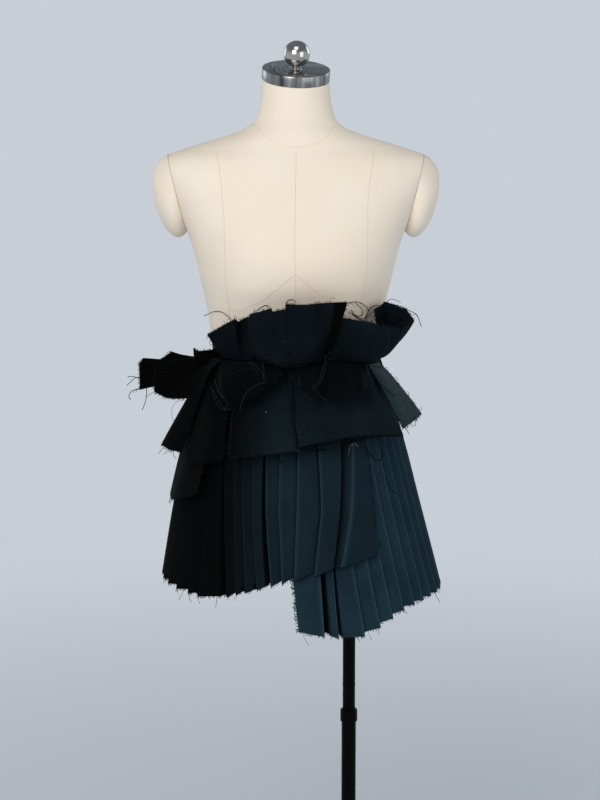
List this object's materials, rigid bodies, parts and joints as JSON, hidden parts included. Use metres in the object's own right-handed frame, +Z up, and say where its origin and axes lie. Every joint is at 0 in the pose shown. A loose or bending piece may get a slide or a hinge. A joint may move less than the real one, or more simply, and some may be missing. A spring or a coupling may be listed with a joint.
{
  "type": "mini skirt on dress form",
  "caption": "Layered mini skirt with knife-pleated wrap panels, flared peplum and folded waist ruffles, worn by a limbless canvas dress form on a round-based pole stand.",
  "frame": {"origin": "centre of the base plate's underside, where the pole's axis meets the floor", "axes": "+Z up along the pole, -Y to the front of the skirt, +X to the viewer's right"},
  "size_m": [0.4951, 0.36, 1.5297],
  "materials": {
    "cotton_canvas": "cream cotton canvas stretched over the form, plain weave, matt",
    "polished_steel": "polished stainless steel ball and stem, cap with a brushed rim",
    "black_enamel": "satin black stove enamel on steel tube and plate",
    "navy_wool": "near-black navy wool suiting with a fine rib, pressed, raw frayed edges",
    "navy_satin_back": "satin face of the same cloth, greener and lighter, raw edges"
  },
  "bodies": {
    "root": {"form_torso": "cotton_canvas", "form_arm_cap_left": "cotton_canvas", "form_arm_cap_right": "cotton_canvas", "neck_cap": "polished_steel", "neck_stem": "polished_steel", "neck_ball": "polished_steel", "stand_upper_tube": "black_enamel", "stand_collar": "black_enamel", "stand_lower_tube": "black_enamel", "base_boss": "black_enamel", "base_plate": "black_enamel", "long_pleated_panel": "navy_wool", "short_pleated_panel": "navy_wool", "hip_layer": "navy_wool", "peplum_left_flare": "navy_wool", "peplum_panel_left": "navy_wool", "peplum_panel_centre": "navy_wool", "peplum_panel_right": "navy_wool", "peplum_back_right": "navy_wool", "peplum_back_centre": "navy_wool", "peplum_back_left": "navy_wool", "right_flap": "navy_satin_back", "middle_ruffle_arm": "navy_wool", "middle_ruffle_left": "navy_wool", "middle_ruffle_right": "navy_wool", "middle_ruffle_back": "navy_wool", "upper_ruffle_left": "navy_wool", "upper_ruffle_centre": "navy_wool", "upper_ruffle_right": "navy_wool", "box_flap": "navy_wool", "waistband": "navy_wool"}
  },
  "joints": []
}
